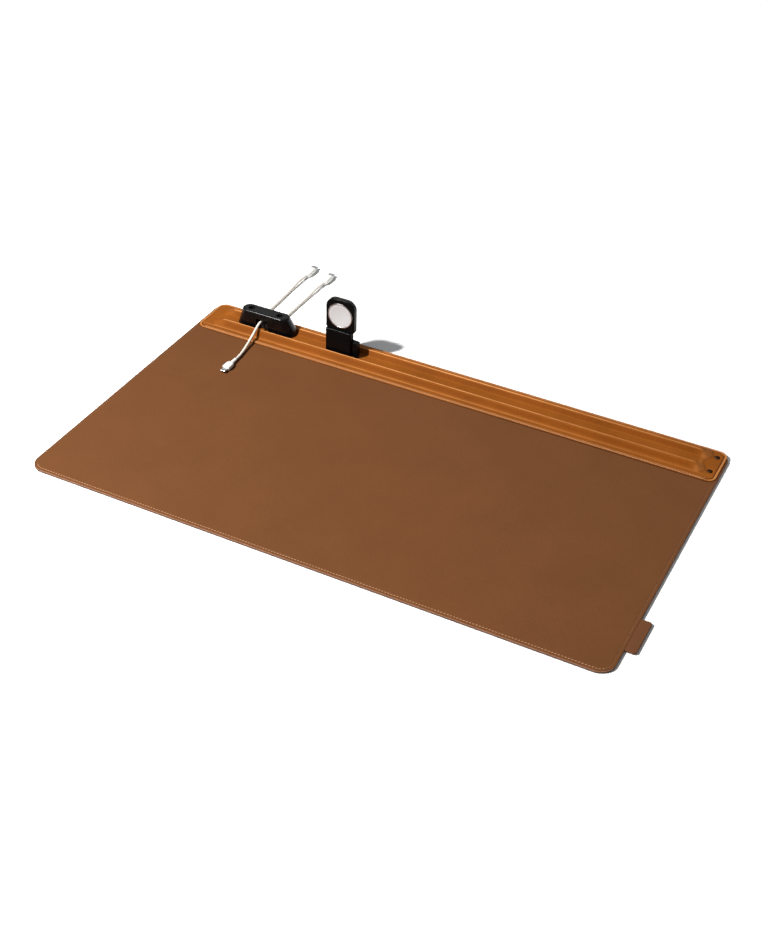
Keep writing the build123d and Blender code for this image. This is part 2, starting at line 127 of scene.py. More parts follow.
# Painted shade and painted highlights on the rail: places in millimetres, each pair from nothing to full or
# back, and colours
WALL_START = (5.2, 6.4)
WALL_STOP = (8.4, 9.7)
WALL_END = (278.0, 290.0)
GROOVE_START = (296.0, 303.0)
GROOVE_WIDE = 1.0
BEAD_IN = 1.7
BEAD_WIDE = 1.5
BEAD_SHARE = 0.5
CREST_LINES = ((146.4, 1.0), (171.0, 1.0), (174.2, 0.4))
CREST_WIDE = 1.0
CREST_START = (8.8, 9.6)
FOOT_LINE = 137.2
FOOT_WIDE = 0.8
FOOT_SHARE = 0.35
HIP_START = (HIP_CREST, HIP_CREST + 4.0)
HIP_LOW = (FLANGE + 0.2, FLANGE + 1.2)
HIP_HIGH = (9.0, 9.9)
HIP_SHARE = 0.15
LIP_LINE = 127.8
LIP_WIDE = 1.3
LIP_START = (-60.0, 140.0)
LINE_CORE = 0.45
# The painted highlights fade from full at the middle to FADE_TO at 260 mm towards the right end
FADE = (0.0, 260.0)
FADE_TO = 0.4
# Painted shade for the walls, painted shade for the grooves and the front edge, and the tan of the painted
# highlights
WALL_SHADE = (0.80, 0.72, 0.50)
GROOVE_SHADE = (0.50, 0.44, 0.40)
HIGHLIGHT_TAN = (0.56, 0.245, 0.085)
WHITE = (1.0, 1.0, 1.0)


# Materials

class Look:
    """A node material, with the few kinds of node that the surfaces here are made from."""

    def __init__(self, name):
        self.material = bpy.data.materials.new(name)
        self.material.use_nodes = True
        self.tree = self.material.node_tree
        self.shader = self.tree.nodes["Principled BSDF"]

    def feed(self, socket, value):
        """Give a socket its value: a number, a vector, a colour or another node's output."""
        if isinstance(value, bpy.types.NodeSocket):
            self.tree.links.new(value, socket)
        elif socket.type == "RGBA":
            socket.default_value = (*value, 1.0)
        else:
            socket.default_value = value

    def node(self, kind, inputs=None, **settings):
        made = self.tree.nodes.new("ShaderNode" + kind)
        for name, value in settings.items():
            setattr(made, name, value)
        for key, value in (inputs or {}).items():
            self.feed(made.inputs[key], value)
        return made

    def shade(self, inputs):
        for name, value in inputs.items():
            self.feed(self.shader.inputs[name], value)

    def place(self):
        return self.node("TexCoord").outputs["Object"]

    def noise(self, where, scale, detail=3.0, roughness=0.5, stretch=None):
        if stretch:
            where = self.node("Mapping", {"Vector": where, "Scale": stretch}).outputs["Vector"]
        inputs = {"Vector": where, "Scale": scale, "Detail": detail, "Roughness": roughness}
        return self.node("TexNoise", inputs).outputs["Fac"]

    def ramp(self, factor, *stops):
        """Colours along a factor, from (place, colour) stops."""
        made = self.node("ValToRGB", {"Fac": factor})
        elements = made.color_ramp.elements
        while len(elements) < len(stops):
            elements.new(0.5)
        for element, (at, colour) in zip(elements, stops):
            element.position = at
            element.color = (*colour, 1.0)
        return made.outputs["Color"]

    def spread(self, factor, low, high):
        return self.node("MapRange", {"Value": factor, "To Min": low, "To Max": high}).outputs["Result"]

    def eased(self, value, low, high, at_low=0.0, at_high=1.0):
        """A smooth passage from one level to another as a value runs from low to high."""
        inputs = {"Value": value, "From Min": low, "From Max": high, "To Min": at_low, "To Max": at_high}
        return self.node("MapRange", inputs, interpolation_type="SMOOTHSTEP").outputs["Result"]

    def maths(self, operation, *values):
        return self.node("Math", dict(enumerate(values)), operation=operation).outputs["Value"]

    def product(self, first, *others):
        for other in others:
            first = self.maths("MULTIPLY", first, other)
        return first

    def vector(self, operation, *values):
        made = self.node("VectorMath", dict(enumerate(values)), operation=operation)
        return made.outputs["Value" if operation == "LENGTH" else "Vector"]

    def mixed(self, blend, share, under, over):
        """One colour laid over another."""
        inputs = {"Factor": share, "A": under, "B": over}
        return self.node("Mix", inputs, data_type="RGBA", blend_type=blend).outputs["Result"]

    def line(self, coordinate, centre, half):
        """A soft line where a coordinate is near a place, both in millimetres."""
        off = self.maths("ABSOLUTE", self.maths("SUBTRACT", coordinate, centre * MM))
        return self.eased(off, half * LINE_CORE * MM, half * MM, 1.0, 0.0)

    def bumps(self, *layers):
        """Bump layers, from (height, strength, depth in metres), each on top of the last."""
        normal = None
        for height, strength, depth in layers:
            made = self.node("Bump", {"Height": height, "Strength": strength, "Distance": depth})
            if normal:
                self.feed(made.inputs["Normal"], normal)
            normal = made.outputs["Normal"]
        self.feed(self.shader.inputs["Normal"], normal)


def scaled(values, share):
    return tuple(value * share for value in values)


def leather(name, colour, rough, grain, depth, patch=0.05, gloss=0.12, painted_light=None):
    """Finished leather: pores and pebbled grain, cloudy dye, and gloss rubbed uneven. A function given for
    the rail lays painted shade and painted highlights over the dye.
    """
    look = Look(name)
    where = look.place()
    cloud = look.noise(where, 14.0, 5.0, 0.6)
    pores = look.noise(where, grain * 0.9, 4.0, 0.65)
    dye = look.ramp(cloud, (0.3, scaled(colour, 1 - patch)), (0.7, scaled(colour, 1 + patch)))
    specks = look.ramp(pores, (0.32, (0.84, 0.82, 0.80)), (0.62, WHITE))
    surface_colour = look.mixed("MULTIPLY", 0.8, dye, specks)
    # Painted shade and painted highlights go over the dye here, where a function for them is given
    if painted_light:
        surface_colour = painted_light(look, where, surface_colour)
    look.shade({
        "Base Color": surface_colour,
        "Roughness": look.spread(cloud, rough - 0.08, rough + 0.08),
        "Specular IOR Level": gloss,
    })
    pebbles = look.node("TexVoronoi", {"Vector": where, "Scale": grain}, feature="SMOOTH_F1")
    look.bumps(
        (look.noise(where, 26.0, 2.0), 0.25, 0.0006),
        (pebbles.outputs["Distance"], 0.5, depth),
        (look.noise(where, grain * 3.0, 3.0, 0.6), 0.35, depth * 0.6),
    )
    return look.material


def inside_rail(look, where):
    """How far a point is inside the rail's outline, whose corners are round, in metres."""
    off = look.vector("ABSOLUTE", look.vector("SUBTRACT", where, scaled(RAIL_MIDDLE, MM)))
    past = look.vector("MAXIMUM", look.vector("SUBTRACT", off, scaled(RAIL_INNER, MM)), (0.0, 0.0, 0.0))
    return look.maths("SUBTRACT", RAIL_CORNER * MM, look.vector("LENGTH", past))


def rail_painted_light(look, where, surface_colour):
    """Painted light on the rail: painted shade on the walls, the end grooves and the lip along the front
    edge, and painted highlights on the rounded edge, the right-hand hips, the crests and the foot line.
    """
    x, y, z = look.node("SeparateXYZ", {"Vector": where}).outputs
    reach = look.maths("ABSOLUTE", x)
    inside = inside_rail(look, where)

    def rising(value, pair):
        return look.eased(value, pair[0] * MM, pair[1] * MM)

    def falling(value, pair, to=0.0):
        return look.eased(value, pair[0] * MM, pair[1] * MM, 1.0, to)

    # Painted shade on the walls between the channel and the crests, left off near the ends
    wall = look.product(rising(z, WALL_START), falling(z, WALL_STOP), falling(reach, WALL_END))
    surface_colour = look.mixed("MULTIPLY", wall, surface_colour, WALL_SHADE)
    # Painted shade in the crease grooves at the ends
    groove = look.product(look.line(inside, CREASE_IN, GROOVE_WIDE), rising(reach, GROOVE_START))
    surface_colour = look.mixed("MULTIPLY", groove, surface_colour, GROOVE_SHADE)
    # Painted highlight along the rounded edge of the cover
    bead = look.product(look.line(inside, BEAD_IN, BEAD_WIDE), BEAD_SHARE)
    surface_colour = look.mixed("MIX", bead, surface_colour, HIGHLIGHT_TAN)
    # Painted highlight on the right-hand hips, which face away from the lamp
    hip = look.product(rising(z, HIP_LOW), falling(z, HIP_HIGH), rising(x, HIP_START), HIP_SHARE)
    surface_colour = look.mixed("MIX", hip, surface_colour, HIGHLIGHT_TAN)
    # Painted shade along the front edge, growing towards the right
    lip = look.product(look.line(y, LIP_LINE, LIP_WIDE), rising(x, LIP_START))
    surface_colour = look.mixed("MULTIPLY", lip, surface_colour, GROOVE_SHADE)
    # Painted highlights along the crests and the foot line, broken up by noise and fading towards the right,
    # where the lamp is weaker
    crests = [look.product(look.line(y, centre, CREST_WIDE), share) for centre, share in CREST_LINES]
    crest_highlight = look.maths("MAXIMUM", look.maths("MAXIMUM", crests[0], crests[1]), crests[2])
    crest_highlight = look.product(crest_highlight, rising(z, CREST_START))
    crest_highlight = look.maths("MAXIMUM", crest_highlight, look.product(look.line(y, FOOT_LINE, FOOT_WIDE), FOOT_SHARE))
    highlight_breakup = look.eased(look.noise(where, 60.0, 4.0, 0.6), 0.3, 0.6, 0.65, 1.0)
    share = look.product(highlight_breakup, falling(x, FADE, FADE_TO), crest_highlight)
    return look.mixed("MIX", share, surface_colour, HIGHLIGHT_TAN)


def raw_edge(name, colour):
    """The cut edge of leather or board, with its fibres running along it."""
    look = Look(name)
    fibres = look.noise(look.place(), 700.0, 4.0, 0.7, (0.25, 0.25, 3.0))
    look.shade({
        "Base Color": look.ramp(fibres, (0.3, scaled(colour, 0.7)), (0.7, scaled(colour, 1.25))),
        "Roughness": 0.7,
    })
    look.bumps((fibres, 0.4, 0.0002))
    return look.material


def thread(name, colour):
    """Waxed thread with its twist."""
    look = Look(name)
    inputs = {"Vector": look.place(), "Scale": 420.0, "Distortion": 0.6}
    twist = look.node("TexWave", inputs, bands_direction="DIAGONAL").outputs["Fac"]
    look.shade({
        "Base Color": look.ramp(twist, (0.0, scaled(colour, 0.72)), (1.0, scaled(colour, 1.15))),
        "Roughness": 0.5,
        "Sheen Weight": 0.05,
        "Specular IOR Level": 0.2,
    })
    look.bumps((twist, 0.5, 0.00015))
    return look.material


def moulded(name, colour, rough, texture=1600.0, depth=0.00003, patch=0.15, coat=0.0, coat_rough=0.2,
            gloss=0.5):
    """Moulded plastic or rubber: a fine even texture and slightly uneven gloss."""
    look = Look(name)
    where = look.place()
    cloud = look.noise(where, 35.0, 4.0, 0.6)
    look.shade({
        "Base Color": look.ramp(cloud, (0.3, scaled(colour, 1 - patch)), (0.7, scaled(colour, 1 + patch))),
        "Roughness": look.spread(cloud, rough - 0.05, rough + 0.05),
        "Specular IOR Level": gloss,
        "Coat Weight": coat,
        "Coat Roughness": coat_rough,
    })
    look.bumps((look.noise(where, texture, 2.0, 0.5), 0.4, depth))
    return look.material


def metal(name, colour, rough, stretch=(1.0, 1.0, 30.0)):
    """Metal with a fine drawn grain."""
    look = Look(name)
    grain = look.noise(look.place(), 160.0, 4.0, 0.7, stretch)
    look.shade({
        "Base Color": look.ramp(grain, (0.3, scaled(colour, 0.85)), (0.7, scaled(colour, 1.1))),
        "Roughness": look.spread(grain, rough - 0.06, rough + 0.08),
        "Metallic": 1.0,
    })
    look.bumps((grain, 0.15, 0.00002))
    return look.material


def winding(name, colour):
    """Fine enamelled turns round the middle of the charging face."""
    look = Look(name)
    low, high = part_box("charge_coil")
    mapping = look.node("Mapping", {"Vector": look.place(), "Location": -(low + high) / 2})
    inputs = {"Vector": mapping.outputs["Vector"], "Scale": 500.0}
    rings = look.node("TexWave", inputs, wave_type="RINGS", rings_direction="Y")
    look.shade({
        "Base Color": look.ramp(rings.outputs["Fac"], (0.0, scaled(colour, 0.4)), (1.0, colour)),
        "Metallic": 0.9,
        "Roughness": 0.35,
    })
    return look.material


MAT_LEATHER = leather("mat_leather", (0.128, 0.0480, 0.0156), rough=0.60, grain=900.0, depth=0.00006)
# The rail's leather gets painted shade and painted highlights laid over its dye
RAIL_LEATHER = leather("rail_leather", (0.230, 0.068, 0.0095), rough=0.50, grain=520.0, depth=0.00010,
                       patch=0.16, gloss=0.02, painted_light=rail_painted_light)
TAG_LEATHER = leather("tag_leather", (0.125, 0.049, 0.020), rough=0.58, grain=800.0, depth=0.00008)
EDGE_TAN = raw_edge("edge_tan", (0.30, 0.125, 0.062))
EDGE_RAIL = raw_edge("edge_rail", (0.055, 0.020, 0.009))
BOARD_EDGE = raw_edge("board_edge", (0.17, 0.08, 0.045))
UNDERSIDE = moulded("underside_suede", (0.06, 0.034, 0.020), rough=0.85, texture=1400.0, depth=0.0002)
THREAD_MAT = thread("thread_mat", (0.46, 0.24, 0.12))
THREAD_SIDE = thread("thread_side", (0.20, 0.088, 0.038))
THREAD_SEAM = thread("thread_seam", (0.46, 0.200, 0.078))
RIVET = metal("rivet_metal", (0.045, 0.022, 0.011), rough=0.6)
BLACK = moulded("black_shell", (0.0020, 0.0021, 0.0026), rough=0.24, texture=1500.0, depth=0.000010,
                patch=0.2, gloss=0.25)
BLACK_STAND = moulded("black_stand", (0.0020, 0.0021, 0.0024), rough=0.30, texture=1500.0, depth=0.000010,
                      patch=0.2, gloss=0.10)
BLACK_ROUGH = moulded("black_textured", (0.013, 0.0128, 0.0135), rough=0.50, texture=1100.0, depth=0.00006,
                      gloss=0.4)
RUBBER = moulded("pad_rubber", (0.003, 0.003, 0.003), rough=0.8, texture=900.0, depth=0.00008, gloss=0.1)
WHITE_CORD = moulded("white_cord", (0.68, 0.63, 0.56), rough=0.42, texture=900.0, depth=0.00002, patch=0.03)
WHITE_PLUG = moulded("white_plug", (0.74, 0.72, 0.69), rough=0.33, texture=900.0, depth=0.00002, patch=0.02,
                     coat=0.2)
PLUG_METAL = metal("plug_metal", (0.62, 0.62, 0.63), rough=0.26)
RING_METAL = metal("ring_aluminium", (0.62, 0.62, 0.63), rough=0.30, stretch=(1.0, 30.0, 1.0))
FACE_WHITE = moulded("pale_face", (0.52, 0.52, 0.53), rough=0.25, texture=1200.0, depth=0.00001, patch=0.02,
                     coat=0.5, coat_rough=0.1)
STEEL = metal("steel", (0.50, 0.50, 0.51), rough=0.35, stretch=(30.0, 1.0, 1.0))
MAGNET = metal("magnet_nickel", (0.62, 0.61, 0.58), rough=0.2)
SCREW = metal("screw_steel", (0.22, 0.22, 0.23), rough=0.32)
CORE_FILL = moulded("moulded_core", (0.10, 0.08, 0.06), rough=0.8, texture=700.0, depth=0.0002)
COIL = winding("coil_copper", (0.72, 0.30, 0.13))
FERRITE = moulded("ferrite", (0.045, 0.045, 0.05), rough=0.5)
BOARD = moulded("circuit_board", (0.012, 0.11, 0.04), rough=0.35, texture=1400.0, depth=0.00003, patch=0.1,
                coat=0.4)

# CAD nodes that stay as they are, by the material that each one gets
FINISHES = {
    UNDERSIDE: ["mat_base"],
    BOARD_EDGE: ["mat_core"],
    CORE_FILL: ["rail_front_core", "rail_rear_core"],
    STEEL: ["rail_steel_strip", "neck_plate"],
    RIVET: ["rail_rivets"],
    BLACK: ["dock_cover"],
    BLACK_STAND: ["stand_body", "stand_side_block", "head_front_plate"],
    BLACK_ROUGH: ["head_back_shell", "dock_base", "stand_base", "dock_cable_clip"],
    RUBBER: ["dock_pads", "stand_pads", "dock_well_liners"],
    MAGNET: ["dock_magnets", "stand_magnets", "align_magnet"],
    SCREW: ["dock_screws", "stand_base_screws"],
    PLUG_METAL: ["usb_inlet"],
    RING_METAL: ["charge_ring"],
    FACE_WHITE: ["charge_face"],
    COIL: ["charge_coil"],
    FERRITE: ["ferrite_disc"],
    BOARD: ["charge_board"],
}


def finish_nodes():
    for material, names in FINISHES.items():
        for name in names:
            piece = NODES[name]
            if not piece.material_slots:
                piece.data.materials.append(material)
            for slot in piece.material_slots:
                slot.material = material


# Meshes

def new_mesh(name, points, faces, materials, body, node, picks=None, soft=True):
    """A closed mesh in millimetres, riding on a body in place of a CAD node."""
    data = bpy.data.meshes.new(name)
    data.from_pydata([Vector(p) * MM for p in points], [], faces)
    for material in materials:
        data.materials.append(material)
    for index, face in enumerate(data.polygons):
        face.use_smooth = soft
        face.material_index = picks[index] if picks else 0
    data.validate()
    piece = bpy.data.objects.new(name, data)
    bpy.context.scene.collection.objects.link(piece)
    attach(piece, body)
    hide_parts(node)
    return piece


def size_of(node):
    low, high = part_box(node)
    return low / MM, high / MM


def points_of(loops):
    return [point for loop in loops for point in loop]


def stack(loops, first=0):
    """Faces between equal loops of points, and over both ends, for points numbered from first."""
    count = len(loops[0])
    faces = [tuple(first + i for i in reversed(range(count)))]
    for level in range(len(loops) - 1):
        low = first + level * count
        for i in range(count):
            j = (i + 1) % count
            faces.append((low + i, low + j, low + count + j, low + count + i))
    top = first + (len(loops) - 1) * count
    faces.append(tuple(top + i for i in range(count)))
    return faces


def rounded_loop(half, radius, z, corner_steps, side_steps=(1, 1)):
    """Points anticlockwise round a rectangle with round corners. Their number doesn't depend on its size."""
    corners = [(1, 1), (-1, 1), (-1, -1), (1, -1)]

    def on_corner(quarter, share):
        sign_x, sign_y = corners[quarter % 4]
        angle = math.pi / 2 * (quarter + share)
        return (sign_x * (half[0] - radius) + radius * math.cos(angle),
                sign_y * (half[1] - radius) + radius * math.sin(angle), z)

    points = []
    for quarter in range(4):
        points += [on_corner(quarter, step / corner_steps) for step in range(corner_steps + 1)]
        last = points[-1]
        ahead = on_corner(quarter + 1, 0)
        count = side_steps[quarter % 2]
        for step in range(1, count):
            share = step / count
            points.append(tuple(a + (b - a) * share for a, b in zip(last, ahead)))
    return points


def make_mat():
    """The mat's leather top, with a rounded edge and a channel pressed in by the stitching."""
    low, high = size_of("mat_top_leather")
    half = ((high.x - low.x) / 2, (high.y - low.y) / 2)
    edge_levels = 3
    levels = [
        (0.30, low.z), (0.02, low.z + 0.25), (0.0, low.z + 0.6), (0.06, high.z - 0.30), (0.25, high.z - 0.10),
        (0.60, high.z - 0.02), (1.10, high.z), (MAT_INSET - 0.75, high.z), (MAT_INSET - 0.35, high.z - 0.10),
        (MAT_INSET, high.z - 0.16), (MAT_INSET + 0.35, high.z - 0.10), (MAT_INSET + 0.75, high.z),
        (MAT_INSET + 2.5, high.z),
    ]
    loops = [rounded_loop((half[0] - inset, half[1] - inset), MAT_CORNER - inset, z, corner_steps=14)
             for inset, z in levels]
    faces = stack(loops)
    round_it = len(loops[0])
    cut_faces = edge_levels * round_it
    picks = [0] + [1] * cut_faces + [0] * (len(faces) - 1 - cut_faces)
    mat = new_mesh("mat_top", points_of(loops), faces, [MAT_LEATHER, EDGE_TAN], "mat",
                   "mat_top_leather", picks)


def make_tag():
    """A folded strip: thin where it is sewn in, full outside the mat, with a pressed line near its end."""
    low, high = size_of("leather_tag")
    edge = size_of("mat_top_leather")[1].x
    middle = (low.y + high.y) / 2
    half = (high.y - low.y) / 2
    thin = (high.z - low.z) / 2
    rest = (low.z + high.z) / 2
    corner = 3.0
    corner_start = 1.2
    full = 1.05
    raised = 1.80
    rounding = 0.42
    # Sections along X: where, how full, and how much the corner cuts off each side
    sections = [
        (low.x, 0.0, 0.0), (edge - 0.1, 0.0, 0.0), (edge + 0.02, 0.85, 0.0), (edge + 0.5, 1.0, 0.0),
        (edge + 1.3, 1.0, 0.0), (high.x - 5.0, 1.0, 0.0), (high.x - corner, 1.0, 0.0),
        (high.x - 2.5, 0.86, 0.0), (high.x - 2.0, 1.0, 0.0),
    ]
    for step in range(1, 8):
        angle = math.pi / 2 * step / 7.4
        run = corner * math.sin(angle)
        if run > corner_start:
            share = 1.0 - 0.5 * (run / corner) ** 8
            sections.append((high.x - corner + run, share, corner * (1 - math.cos(angle))))
    loops = []
    for x, share, cut in sections:
        thick = thin + (full - thin) * share
        z = rest + (raised - rest) * min(share * 1.3, 1.0)
        radius = min(rounding, thick * 0.8)
        flat = rounded_loop((half - cut, thick), radius, 0.0, corner_steps=4, side_steps=(6, 1))
        loops.append([(x, middle + a, z + b) for a, b, _ in flat])
    new_mesh("side_tag", points_of(loops), stack(loops), [TAG_LEATHER], "mat", "leather_tag")


# Rail cover

def ridge_line(y):
    """The rail's height in section, with its corners rounded off."""
    total = 0.0
    samples = 7
    for k in range(samples):
        at = y + RIDGE_ROUNDING * (2 * k / (samples - 1) - 1)
        for (y0, z0), (y1, z1) in zip(RIDGE, RIDGE[1:]):
            if y0 <= at < y1:
                total += z0 + (z1 - z0) * (at - y0) / (y1 - y0)
                break
    return total / samples


def soft_min(a, b, width):
    overlap = max(width - abs(a - b), 0.0) / width
    return min(a, b) - overlap * overlap * width / 4


def smooth_step(low, high, value):
    share = min(max((value - low) / (high - low), 0.0), 1.0)
    return share * share * (3 - 2 * share)


def hollow(off, half, depth):
    """The depth of a round-bottomed groove at a distance off its middle."""
    return depth * math.cos(off / half * math.pi / 2) ** 2 if off < half else 0.0


def edge_distance(x, y, half, front, back):
    """How far a point is inside the rail's outline, whose corners are round."""
    mid = (front + back) / 2
    dx = abs(x) - (half - RAIL_CORNER)
    dy = abs(y - mid) - ((back - front) / 2 - RAIL_CORNER)
    if dx > 0 and dy > 0:
        return RAIL_CORNER - math.hypot(dx, dy)
    return RAIL_CORNER - max(dx, dy)


def cover_height(x, y, half, front, back):
    """The cover's height: ridges with sloping ends, a rounded edge, grooves, and dimples at the rivets."""
    nose = HIP_NOSE * min(*(((y - centre) / wide) ** 2 for centre, wide in HIP_NOSES), 1.0)
    slope = (CREST - FLANGE) / (HIP_FOOT - HIP_CREST)
    hip = FLANGE + (HIP_FOOT - nose - abs(x)) * slope
    z = max(soft_min(ridge_line(y), hip, 1.0), FLANGE) if hip > FLANGE - 1 else FLANGE
    inside = max(edge_distance(x, y, half, front, back), 0.0)
    if inside < EDGE_ROUNDING:
        z -= EDGE_ROUNDING - math.sqrt(max(EDGE_ROUNDING ** 2 - (EDGE_ROUNDING - inside) ** 2, 0.0))
    z -= hollow(abs(inside - CREASE_IN), CREASE_HALF, CREASE_DEPTH) * smooth_step(*CREASE_START, abs(x))
    if abs(x) < half - RAIL_CORNER:
        z -= hollow(abs(y - front - SEAM_GROOVE_IN), SEAM_GROOVE_HALF, SEAM_GROOVE_DEPTH)
    for rivet_x, rivet_y in RIVET_PLACES:
        z -= RIVET_DIMPLE * (1 - smooth_step(*RIVET_REACH, math.hypot(x - rivet_x, y - rivet_y)))
    return z + UNEVENNESS * noise.noise(Vector((x * 0.05, y * 0.12, 3.0)))


def steps_between(low, high, step):
    count = max(int(round((high - low) / step)), 1)
    return [low + (high - low) * i / count for i in range(count)]


def make_rail():
    """The cover as a grid, coarse along the plain ridges and fine at the ends and edges, with a rim below."""
    low, high = size_of("rail_leather")
    half, front, back = high.x, low.y, high.y
    span = back - front
    plain_end, fine_end = 276.0, 309.0
    positive = steps_between(0.0, plain_end, 12.0) + steps_between(plain_end, fine_end, 0.75)
    positive += [fine_end, 309.6, 310.2, 310.7, 311.2, 311.6, 312.0, 312.3, 312.6, 312.8, 312.95, half]
    xs = [-x for x in reversed(positive[1:])] + positive
    margin = [0.0, 0.06, 0.2, 0.4, 0.7, 1.0, 1.3, 1.7, 2.1, 2.5, 2.8, 3.1, 3.4, 3.8]
    past_margin = 4.3
    shares = [m / span for m in margin]
    shares += [(y - front) / span for y in steps_between(front + past_margin, back - past_margin, 0.55)]
    shares += [1 - m / span for m in reversed(margin)]
    points = []
    for x in xs:
        over = max(abs(x) - (half - RAIL_CORNER), 0.0)
        pull = RAIL_CORNER - math.sqrt(max(RAIL_CORNER ** 2 - over ** 2, 0.0))
        for share in shares:
            y = front + pull + (span - 2 * pull) * share
            points.append((x, y, cover_height(x, y, half, front, back)))
    columns, rows = len(xs), len(shares)
    faces = []
    for i in range(columns - 1):
        for j in range(rows - 1):
            a = i * rows + j
            faces.append((a, a + rows, a + rows + 1, a + 1))
    top_faces = len(faces)
    rim = [i * rows for i in range(columns)]
    rim += [(columns - 1) * rows + j for j in range(1, rows)]
    rim += [i * rows + rows - 1 for i in reversed(range(columns - 1))]
    rim += list(reversed(range(1, rows - 1)))
    first = len(points)
    points += [(points[i][0], points[i][1], low.z) for i in rim]
    for k in range(len(rim)):
        after = (k + 1) % len(rim)
        faces.append((rim[k], first + k, first + after, rim[after]))
    faces.append(tuple(first + k for k in reversed(range(len(rim)))))
    picks = [0] * top_faces + [1] * len(rim) + [0]
    cover = new_mesh("rail_cover", points, faces, [RAIL_LEATHER, EDGE_RAIL], "mat",
                     "rail_leather", picks)


# Stitches

def stitch_form(length, radius, lift, sides=8, rings=8):
    """One stitch along X: a thread that rises out of the leather and dips back at both ends."""
    loops = []
    for ring in range(rings + 1):
        share = 2 * ring / rings - 1
        size = radius * max(1 - abs(share) ** 5, 0.12) ** 0.5
        rise = lift * math.cos(share * math.pi / 2) - radius * 0.7
        angles = [2 * math.pi * k / sides for k in range(sides)]
        loops.append([(share * length / 2, size * math.cos(a), rise + size * math.sin(a)) for a in angles])
    return loops


def sew(name, node, marks, form, slant, threads):
    """One mesh of stitches at (point, heading) marks. A second thread is used where a seam runs along Y."""
    points, faces, picks = [], [], []
    for spot, heading in marks:
        along_side = len(threads) > 1 and abs(math.sin(heading)) > 0.7
        turn = Matrix.Rotation(heading + slant + random.uniform(-0.03, 0.03), 3, "Z")
        moved = [[Vector(spot) + turn @ Vector(p) for p in loop] for loop in form]
        added = stack(moved, len(points))
        faces += added
        picks += [1 if along_side else 0] * len(added)
        points += points_of(moved)
    new_mesh(name, points, faces, threads, "mat", node, picks)


def marks_round_mat(inset, pitch, z, back):
    """Places for stitches down the left edge, along the front and up the right edge."""
    low, high = size_of("mat_top_leather")
    radius = MAT_CORNER - inset
    x, y = high.x - inset, low.y + inset
    side = back - (y + radius)
    arc = radius * math.pi / 2
    front = 2 * (x - radius)

    def corner(centre_x, at, first_angle):
        angle = first_angle + at / radius
        spot = (centre_x + radius * math.cos(angle), y + radius + radius * math.sin(angle), z)
        return spot, angle + math.pi / 2

    runs = [
        (side, lambda at: ((-x, back - at, z), -math.pi / 2)),
        (arc, lambda at: corner(radius - x, at, math.pi)),
        (front, lambda at: ((radius - x + at, y, z), 0.0)),
        (arc, lambda at: corner(x - radius, at, 1.5 * math.pi)),
        (side, lambda at: ((x, y + radius + at, z), math.pi / 2)),
    ]
    whole = 2 * side + 2 * arc + front
    count = int(whole / pitch)
    marks = []
    for i in range(count):
        at = (i + 0.5) * whole / count
        for length, mark in runs:
            if at < length:
                marks.append(mark(at))
                break
            at -= length
    return marks


def make_stitching():
    rail_front = size_of("rail_leather")[0].y
    mat_top = size_of("mat_top_leather")[1].z
    marks = marks_round_mat(MAT_INSET, MAT_PITCH, mat_top - MAT_SUNK, rail_front - 0.6)
    form = stitch_form(MAT_STITCH, MAT_THREAD, MAT_RISE)
    sew("mat_stitches", "mat_stitching", marks, form, MAT_SLANT, [THREAD_MAT, THREAD_SIDE])
    low, high = size_of("rail_stitching")
    count = int((high.x - low.x) / SEAM_PITCH)
    pitch = (high.x - low.x) / count
    seam_y = rail_front + SEAM_IN
    seam_z = FLANGE - SEAM_SUNK
    marks = [((low.x + (i + 0.5) * pitch, seam_y, seam_z), 0.0) for i in range(count)]
    form = stitch_form(SEAM_STITCH, SEAM_THREAD, SEAM_RISE)
    sew("rail_stitches", "rail_stitching", marks, form, SEAM_SLANT, [THREAD_SEAM])


# Leads and plugs

def make_cord(name, node, route):
    curve = bpy.data.curves.new(name, "CURVE")
    curve.dimensions = "3D"
    line = curve.splines.new("NURBS")
    line.points.add(len(route) - 1)
    for point, spot in zip(line.points, route):
        point.co = (*(Vector(spot) * MM), 1.0)
    line.order_u = 3
    line.use_endpoint_u = True
    curve.resolution_u = 14
    curve.bevel_depth = LEAD / 2 * MM
    curve.bevel_resolution = 6
    curve.use_fill_caps = True
    curve.materials.append(WHITE_CORD)
    piece = bpy.data.objects.new(name, curve)
    bpy.context.scene.collection.objects.link(piece)
    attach(piece, "cable_dock")
    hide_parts(node)


def squircle(width, height, power, steps=32):
    points = []
    for k in range(steps):
        angle = 2 * math.pi * k / steps
        c = math.cos(angle)
        s = math.sin(angle)
        points.append((width / 2 * math.copysign(abs(c) ** (2 / power), c),
                       height / 2 * math.copysign(abs(s) ** (2 / power), s)))
    return points


def along_y(start, way, sections):
    """Loops across Y from (distance, width, height, power) sections, from a start point."""
    loops = []
    for distance, width, height, power in sections:
        loops.append([(start[0] + a * -way, start[1] + way * distance, start[2] + b)
                      for a, b in squircle(width, height, power)])
    return loops


